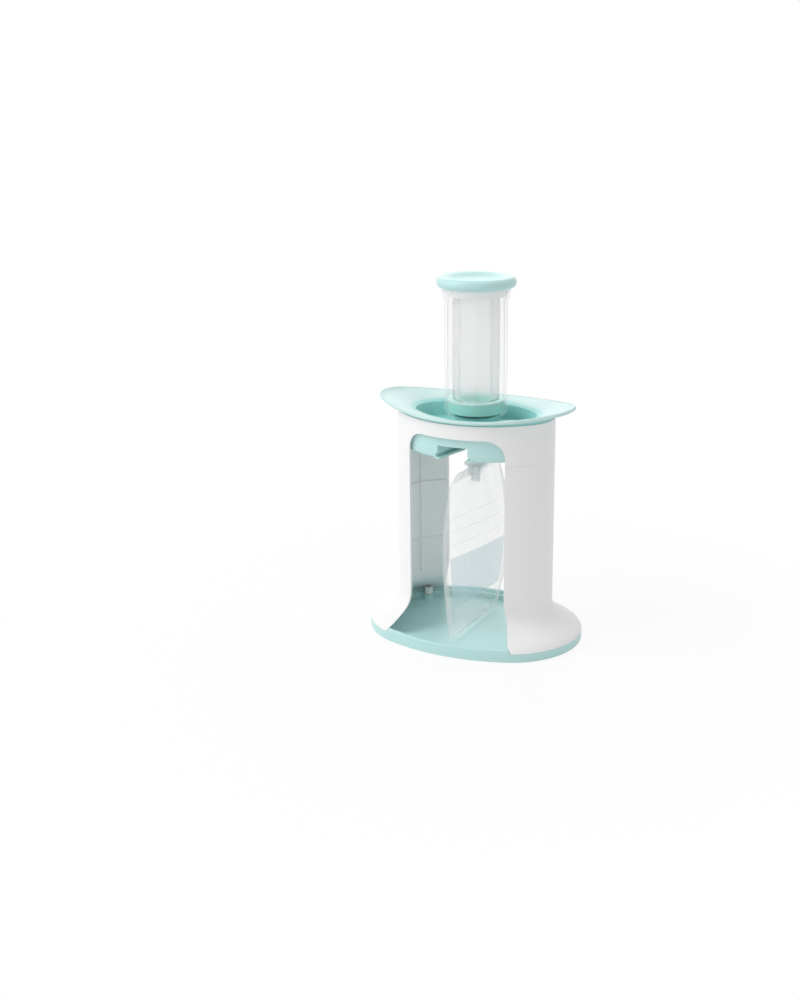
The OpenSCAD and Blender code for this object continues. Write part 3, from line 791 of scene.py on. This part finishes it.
def smooth_corners(piece: bpy.types.Object) -> None:
    """Shades neighbouring facets as one surface, without moving any point.

    Corners steeper than SHARP_CORNER stay sharp. A facet counts in a corner's shading by its angle there.

    Args:
        piece: a mesh object of triangles.
    """
    mesh = piece.data
    if any(len(polygon.vertices) != 3 for polygon in mesh.polygons):
        return
    points = np.zeros(len(mesh.vertices) * 3)
    mesh.vertices.foreach_get("co", points)
    points = points.reshape(-1, 3)
    corner = np.zeros(len(mesh.loops), np.int64)
    mesh.loops.foreach_get("vertex_index", corner)
    facets = points[corner].reshape(-1, 3, 3)
    edge_a = facets[:, [1, 2, 0]] - facets
    edge_b = facets[:, [2, 0, 1]] - facets
    length = np.linalg.norm(edge_a, axis=2) * np.linalg.norm(edge_b, axis=2) + NOTHING**2
    weight = np.arccos(np.clip((edge_a * edge_b).sum(2) / length, -1, 1)).reshape(-1)
    normal = np.cross(facets[:, 1] - facets[:, 0], facets[:, 2] - facets[:, 0])
    normal /= np.linalg.norm(normal, axis=1, keepdims=True) + NOTHING**2
    per_corner = np.repeat(normal, 3, axis=0)
    steps = np.round(points[corner] * WELD_STEPS_PER_METRE).astype(np.int64)
    place = np.unique(steps, axis=0, return_inverse=True)[1].reshape(-1)
    order = np.argsort(place, kind="stable")
    limits = np.flatnonzero(np.diff(place[order])) + 1
    smooth = per_corner.copy()
    least = math.cos(math.radians(SHARP_CORNER))
    for group in np.split(order, limits):
        directions = per_corner[group]
        near = (directions @ directions.T) > least
        blended = (near * weight[group][None, :]) @ directions
        size = np.linalg.norm(blended, axis=1, keepdims=True)
        smooth[group] = np.where(size > NOTHING, blended / np.maximum(size, NOTHING), directions)
    mesh.polygons.foreach_set("use_smooth", np.ones(len(mesh.polygons), bool))
    mesh.normals_split_custom_set(smooth.tolist())


# ---------------------------------------------------------------- sub-assemblies


@dataclass
class Stand:
    """The base tray on its pads, the two legs and the upper housing."""

    pads: tuple[str, ...] = ("foot_front_left", "foot_front_right", "foot_rear_left", "foot_rear_right")
    walls: tuple[str, ...] = ("left_leg", "right_leg", "upper_housing")

    def dress(self, dresser: Dresser) -> None:
        """Finishes every piece of the stand.

        Args:
            dresser: the finishes.
        """
        dresser.dress("base_tray", Slot.MINT)
        for wall in self.walls:
            dresser.dress(wall, Slot.WHITE)
        dresser.dress("leg_screws", Slot.STEEL)
        for pad in self.pads:
            dresser.dress(pad, Slot.PAD)
        LOG.info("finished the %s", Body.STAND.value)


@dataclass
class BowlUnit:
    """The winged bowl with the spout holder under it.

    The bowl's mint carries painted shade: it turns to a darker, deeper mint towards the bottom of the bowl,
    fully below the lower level, and has its common colour above the upper one.
    """

    unshaded_level: float = 196.3 * MM
    full_shade_level: float = 194.4 * MM

    def dress(self, dresser: Dresser) -> None:
        """Finishes the bowl, the holder and its screws.

        Args:
            dresser: the finishes.
        """
        # the bowl's mint, with a darker mint painted low in the bowl as its shade
        finish = MouldedPlastic(
            linear(200, 229, 227),
            roughness=0.34,
            drift=0.012,
            painted_shade_colour=linear(150, 213, 209),
            unshaded_above=self.unshaded_level,
            full_shade_below=self.full_shade_level,
        )
        dresser.add(Slot.BOWL, finish)
        dresser.dress("funnel_tray", Slot.BOWL)
        dresser.dress("spout_holder", Slot.MINT)
        dresser.dress("holder_screws", Slot.STEEL)
        LOG.info("finished the %s", Body.BOWL.value)


@dataclass
class TubeUnit:
    """The clear filling tube and its seal."""

    def dress(self, dresser: Dresser) -> None:
        """Finishes the tube and the seal.

        Args:
            dresser: the finishes.
        """
        dresser.dress("filling_tube", Slot.CLEAR)
        dresser.dress("tube_gasket", Slot.SILICONE)
        LOG.info("finished the %s", Body.TUBE.value)


@dataclass
class Plunger:
    """The palm knob, collar, column and piston."""

    def dress(self, dresser: Dresser) -> None:
        """Finishes the plunger.

        Args:
            dresser: the finishes.
        """
        dresser.dress("plunger_knob", Slot.MINT)
        dresser.dress("plunger_collar", Slot.COLLAR)
        dresser.dress("plunger_column", Slot.FROSTED)
        dresser.dress("piston_head", Slot.PISTON)
        dresser.dress("piston_seal", Slot.SILICONE)
        LOG.info("finished the %s", Body.PLUNGER.value)


@dataclass
class Pouch:
    """The film bag that hangs from its spout: two sheets, sealed along every edge.

    Top, foot, stem_foot, sway_low and sway_high are heights above the table. The panel and the rules are
    measured from the bag's foot. Angles are in degrees. Swell_rise and swell_fall are shares of the height,
    and swell_powers round the swell at its sides, foot and top. Ripples and creases go by radians, across per
    half width and up per metre.
    """

    half_width: float = 49.0 * MM
    top: float = 148.0 * MM
    foot: float = 5.5 * MM
    top_corner: float = 13.0 * MM
    foot_corner: float = 7.0 * MM
    shoulder: float = 6.0 * MM
    shoulder_power: int = 5
    seal: float = 7.0 * MM
    columns: int = 64
    rows: int = 96

    turn: float = 88.5
    twist: float = -10.2
    twist_power: float = 1.07

    seal_thickness: float = 0.5 * MM
    swell: float = 4.6 * MM
    swell_rise: float = 0.35
    swell_fall: float = 0.3
    swell_least: float = 0.35
    swell_powers: tuple[float, float, float] = (0.55, 0.6, 0.7)
    stem_half_width: float = 12.5 * MM
    stem_gap: float = 10.2 * MM
    stem_foot: float = 132.0 * MM
    stem_ease: float = 6.0 * MM
    stem_power: float = 0.8

    sway: float = 2.0 * MM
    waves: float = 0.52
    sway_low: float = 12.8 * MM
    sway_high: float = 147.0 * MM
    ripple: float = 0.35 * MM
    ripple_across: float = 9.0
    ripple_up: float = 60.0
    ripple_from: float = 0.25
    crease: float = 0.4 * MM
    crease_across: float = 4.0
    crease_up: float = 150.0
    crease_reach: float = 60.0 * MM

    panel_half_width: float = 39.0 * MM
    panel_low: float = 25.5 * MM
    panel_high: float = 69.5 * MM
    rule_ends: tuple[float, float] = (-30.0 * MM, 37.0 * MM)
    rule_levels: tuple[float, ...] = (80.5 * MM, 92.5 * MM, 104.5 * MM)

    def _height(self) -> float:
        """Height of the sheets in metres."""
        return self.top - self.foot

    def _edge(self, up: float) -> float:
        """Half width of the film at a height above its foot.

        Args:
            up: height above the foot, in metres.

        Returns:
            The half width there.
        """
        height = self._height()
        radius, past = 0.0, 0.0
        if up > height - self.top_corner:
            radius, past = self.top_corner, up - (height - self.top_corner)
        elif up < self.foot_corner:
            radius, past = self.foot_corner, self.foot_corner - up
        cut = radius - math.sqrt(max(radius * radius - past * past, 0.0))
        return self.half_width - self.shoulder * (up / height) ** self.shoulder_power - cut

    def _swollen(self, across: float, up: float) -> float:
        """Gap between the sheets where the bag bellies out between its seals.

        Args:
            across: distance from the centre line, in metres.
            up: height above the foot, in metres.

        Returns:
            The gap there, 0 at the seals.
        """
        height = self._height()
        side = unit(1.0 - abs(across) / (self.half_width - self.seal))
        rise = unit((up - self.seal) / (self.swell_rise * height))
        fall = unit((height - self.seal - up) / (self.swell_fall * height))
        if fall <= 0:
            return 0.0
        side_power, rise_power, fall_power = self.swell_powers
        tapered = self.swell_least + (1.0 - self.swell_least) * fall**fall_power
        return self.swell * side**side_power * rise**rise_power * tapered

    def _round_stem(self, across: float, up: float) -> float:
        """Gap between the sheets where they are sealed round the spout's stem.

        Args:
            across: distance from the centre line, in metres.
            up: height above the foot, in metres.

        Returns:
            The gap there, 0 away from the stem.
        """
        near = unit(1.0 - abs(across) / self.stem_half_width)
        above = unit((up + self.foot - self.stem_foot + self.stem_ease) / self.stem_ease)
        eased = above * above * (3.0 - 2.0 * above)
        return self.stem_gap * math.sin(math.pi / 2 * near) ** self.stem_power * eased

    def _thickness(self, across: float, up: float) -> float:
        """Gap between the two sheets.

        Args:
            across: distance from the centre line, in metres.
            up: height above the foot, in metres.

        Returns:
            The gap there.
        """
        return self.seal_thickness + max(self._swollen(across, up), self._round_stem(across, up))

    def _span(self, height: float) -> float:
        """How far up the swaying stretch a height above the table is: 0 at its foot, 1 at its top."""
        return (height - self.sway_low) / (self.sway_high - self.sway_low)

    def _middle(self, across: float, height: float) -> float:
        """Sideways sway of the hanging film, with the ripples of its sides and the creases under its top.

        Args:
            across: distance from the centre line, as a share of the half width.
            height: height above the table, in metres.

        Returns:
            How far the film stands off its plane.
        """
        sway = self.sway * math.sin(2.0 * math.pi * self._span(height) * self.waves)
        outer = max(0.0, abs(across) - self.ripple_from)
        ripple = self.ripple * math.sin(across * self.ripple_across + height * self.ripple_up) * outer
        below = max(0.0, 1.0 - (self.top - height) / self.crease_reach)
        crease = self.crease * math.sin(height * self.crease_up + across * self.crease_across)
        return sway + ripple + crease * (1.0 - abs(across)) ** 2 * below

    def _turned(self, across: float, off: float, height: float) -> Place:
        """Turns a point of the film about the spout, as the film is twisted at that height.

        Args:
            across: distance from the centre line, in metres.
            off: distance off the film's plane, in metres.
            height: height above the table, in metres.

        Returns:
            The point in the frame.
        """
        twist = self.twist * math.sin(math.pi * unit(self._span(height)) ** self.twist_power)
        angle = math.radians(self.turn + twist) + math.pi
        return (
            across * math.cos(angle) - off * math.sin(angle),
            across * math.sin(angle) + off * math.cos(angle),
            height,
        )

    def _points(self) -> tuple[list[Place], list[tuple[float, float]]]:
        """Lays out the points of the front sheet and then of the rear sheet, row by row from the foot.

        Returns:
            The points, and for each its place in the print.
        """
        points: list[Place] = []
        prints: list[tuple[float, float]] = []
        for side in (1.0, -1.0):
            for row in range(self.rows + 1):
                up = self._height() * row / self.rows
                edge = self._edge(up)
                for column in range(self.columns + 1):
                    share = 1.0 - 2.0 * column / self.columns
                    across = edge * share
                    off = self._middle(share, self.foot + up) + side * self._thickness(across, up) / 2
                    points.append(self._turned(across, off, self.foot + up))
                    prints.append((across, up * side))
        return points, prints

    def _faces(self) -> list[tuple[int, ...]]:
        """Joins the points to the two sheets and closes them along the rim.

        Returns:
            The faces, as point numbers.
        """
        wide = self.columns + 1
        per_side = wide * (self.rows + 1)
        faces: list[tuple[int, ...]] = []
        for row in range(self.rows):
            for column in range(self.columns):
                front = row * wide + column
                faces.append((front, front + wide, front + wide + 1, front + 1))
                rear = front + per_side
                faces.append((rear, rear + 1, rear + wide + 1, rear + wide))
        rim = [row * wide for row in range(self.rows + 1)]
        rim += [self.rows * wide + column for column in range(1, wide)]
        rim += [row * wide + wide - 1 for row in range(self.rows - 1, -1, -1)]
        rim += list(range(wide - 2, 0, -1))
        for here, ahead in zip(rim, rim[1:] + rim[:1]):
            faces.append((here, here + per_side, ahead + per_side, ahead))
        return faces

    def build(self) -> bpy.types.Object:
        """Builds the film bag and puts it on its body.

        Returns:
            The film object.
        """
        points, prints = self._points()
        mesh = bpy.data.meshes.new("film_bag")
        mesh.from_pydata(points, [], self._faces())
        layer = mesh.uv_layers.new(name="print")
        for loop in mesh.loops:
            layer.data[loop.index].uv = prints[loop.vertex_index]
        mesh.polygons.foreach_set("use_smooth", np.ones(len(mesh.polygons), bool))
        mesh.update()
        mesh.materials.append(self._finish().make("printed_film"))
        film = bpy.data.objects.new("film_bag", mesh)
        bpy.context.scene.collection.objects.link(film)
        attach(film, Body.POUCH.value)
        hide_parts("pouch_film")
        LOG.info("built film_bag, %d faces", len(mesh.polygons))
        return film

    def dress(self, dresser: Dresser) -> None:
        """Finishes the spout.

        Args:
            dresser: the finishes.
        """
        dresser.dress("pouch_spout", Slot.SPOUT)
        LOG.info("finished the %s", Body.POUCH.value)

    def _finish(self) -> PrintedFilm:
        """The film's finish with its panel and rules.

        Returns:
            The finish.
        """
        return PrintedFilm(
            half_width=self.half_width,
            height=self._height(),
            seal=self.seal,
            panel_half_width=self.panel_half_width,
            panel_low=self.panel_low,
            panel_high=self.panel_high,
            rule_ends=self.rule_ends,
            rule_levels=self.rule_levels,
        )


# ---------------------------------------------------------------- studio


@dataclass
class Lamp:
    """A soft rectangular studio lamp."""

    name: str
    place: Place
    aim: Place
    size: float
    power: float

    def build(self) -> None:
        """Hangs the lamp."""
        data = bpy.data.lights.new(self.name, "AREA")
        data.shape = "SQUARE"
        data.size = self.size
        data.energy = self.power
        lamp = bpy.data.objects.new(self.name, data)
        lamp.location = self.place
        toward = Vector(self.aim) - Vector(self.place)
        lamp.rotation_euler = toward.to_track_quat("-Z", "Y").to_euler()
        bpy.context.scene.collection.objects.link(lamp)


@dataclass
class Studio:
    """Floor, lamps, world and camera.

    Floor_glow is how much of the floor seems lit from within, at floor_fade's nearer and farther distance.
    """

    target: Place = (0.0, 0.0, 0.155)
    camera_place: Place = (0.4426, -0.9734, 0.4527)
    roll: float = 0.2
    focal_pixels: float = 1322.0
    image: tuple[float, float] = (800.0, 1000.0)
    centre_pixel: tuple[float, float] = (475.75, 456.0)
    sensor: float = 36.0
    clip: tuple[float, float] = (0.01, 20.0)
    ambient: float = 0.63
    floor_size: float = 8.0
    floor_grey: float = 0.9
    floor_glow: tuple[float, float] = (0.88, 1.0)
    floor_fade: tuple[float, float] = (0.14, 0.42)
    lamps: tuple[Lamp, ...] = (
        Lamp("key_lamp", (-1.2, -1.0, 1.5), (0.0, 0.0, 0.12), 1.2, 18.0),
        Lamp("rear_lamp", (-0.7, 1.4, 0.9), (0.0, 0.0, 0.1), 1.0, 3.5),
        Lamp("top_lamp", (-0.1, 0.2, 2.0), (0.0, 0.0, 0.1), 1.4, 4.0),
    )

    def build(self) -> None:
        """Sets up the whole studio."""
        self._floor()
        self._world()
        for lamp in self.lamps:
            lamp.build()
        self._camera()
        bpy.context.scene.view_settings.view_transform = "Standard"
        LOG.info("studio ready")

    def _seen(self, tree: bpy.types.NodeTree) -> Socket:
        """Marks the rays that look at the surroundings directly, by a mirror or through clear plastic.

        Args:
            tree: the node tree to add to.

        Returns:
            A socket that is 1 for those rays.
        """
        path = tree.nodes.new("ShaderNodeLightPath")
        seen = path.outputs["Is Camera Ray"]
        for kind in ("Is Transmission Ray", "Is Glossy Ray"):
            either = tree.nodes.new("ShaderNodeMath")
            either.operation = "MAXIMUM"
            tree.links.new(seen, either.inputs[0])
            tree.links.new(path.outputs[kind], either.inputs[1])
            seen = either.outputs[0]
        return seen

    def _floor(self) -> None:
        """Lays a plain pale floor that keeps the station's shadow."""
        half = self.floor_size / 2
        corners = [(-half, -half, 0), (half, -half, 0), (half, half, 0), (-half, half, 0)]
        mesh = bpy.data.meshes.new("studio_floor")
        mesh.from_pydata(corners, [], [(0, 1, 2, 3)])
        mesh.materials.append(self._floor_material())
        floor = bpy.data.objects.new("studio_floor", mesh)
        bpy.context.scene.collection.objects.link(floor)

    def _floor_material(self) -> bpy.types.Material:
        """Makes the floor glow to the rays that look at it, and more so further out.

        Returns:
            The material.
        """
        material = bpy.data.materials.new("studio_floor")
        material.use_nodes = True
        tree = material.node_tree
        tree.nodes.clear()
        output = tree.nodes.new("ShaderNodeOutputMaterial")
        matt = tree.nodes.new("ShaderNodeBsdfDiffuse")
        matt.inputs["Color"].default_value = (self.floor_grey, self.floor_grey, self.floor_grey, 1.0)
        glow = tree.nodes.new("ShaderNodeEmission")
        place = tree.nodes.new("ShaderNodeTexCoord")
        away = tree.nodes.new("ShaderNodeVectorMath")
        away.operation = "LENGTH"
        tree.links.new(place.outputs["Object"], away.inputs[0])
        fade = tree.nodes.new("ShaderNodeMapRange")
        fade.interpolation_type = "SMOOTHSTEP"
        fade.inputs["From Min"].default_value, fade.inputs["From Max"].default_value = self.floor_fade
        fade.inputs["To Min"].default_value, fade.inputs["To Max"].default_value = self.floor_glow
        tree.links.new(away.outputs["Value"], fade.inputs["Value"])
        share = tree.nodes.new("ShaderNodeMath")
        share.operation = "MULTIPLY"
        tree.links.new(self._seen(tree), share.inputs[0])
        tree.links.new(fade.outputs["Result"], share.inputs[1])
        blend = tree.nodes.new("ShaderNodeMixShader")
        tree.links.new(share.outputs[0], blend.inputs["Fac"])
        tree.links.new(matt.outputs["BSDF"], blend.inputs[1])
        tree.links.new(glow.outputs["Emission"], blend.inputs[2])
        tree.links.new(blend.outputs["Shader"], output.inputs["Surface"])
        return material

    def _world(self) -> None:
        """Gives an even white surround that lights the station less than it shows."""
        world = bpy.data.worlds.new("studio_world")
        bpy.context.scene.world = world
        world.use_nodes = True
        tree = world.node_tree
        tree.nodes.clear()
        output = tree.nodes.new("ShaderNodeOutputWorld")
        back = tree.nodes.new("ShaderNodeBackground")
        back.inputs["Color"].default_value = (1.0, 1.0, 1.0, 1.0)
        level = tree.nodes.new("ShaderNodeMapRange")
        level.inputs["To Min"].default_value = self.ambient
        tree.links.new(self._seen(tree), level.inputs["Value"])
        tree.links.new(level.outputs["Result"], back.inputs["Strength"])
        tree.links.new(back.outputs["Background"], output.inputs["Surface"])

    def _camera(self) -> None:
        """Places the camera at the photograph's viewing angle."""
        data = bpy.data.cameras.new("studio_camera")
        long_side = max(self.image)
        data.sensor_width = self.sensor
        data.lens = self.focal_pixels / long_side * self.sensor
        data.shift_x = (self.image[0] / 2 - self.centre_pixel[0]) / long_side
        data.shift_y = (self.centre_pixel[1] - self.image[1] / 2) / long_side
        data.clip_start, data.clip_end = self.clip
        data.dof.use_dof = False
        forward = (Vector(self.target) - Vector(self.camera_place)).normalized()
        right = forward.cross(Vector((0, 0, 1))).normalized()
        up = right.cross(forward)
        tilt = math.radians(self.roll)
        rolled_right = right * math.cos(tilt) + up * math.sin(tilt)
        rolled_up = up * math.cos(tilt) - right * math.sin(tilt)
        camera = bpy.data.objects.new("studio_camera", data)
        axes = Matrix((rolled_right, rolled_up, -forward)).transposed().to_4x4()
        camera.matrix_world = Matrix.Translation(Vector(self.camera_place)) @ axes
        bpy.context.scene.collection.objects.link(camera)
        bpy.context.scene.camera = camera


def main() -> None:
    """Builds and dresses the station, then the studio."""
    logging.basicConfig(level=logging.INFO, format="%(name)s: %(message)s")
    dresser = Dresser(PALETTE)
    Stand().dress(dresser)
    BowlUnit().dress(dresser)
    TubeUnit().dress(dresser)
    Plunger().dress(dresser)
    pouch = Pouch()
    film = pouch.build()
    pouch.dress(dresser)
    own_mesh(film)
    Studio().build()


if __name__ == "__main__":
    main()
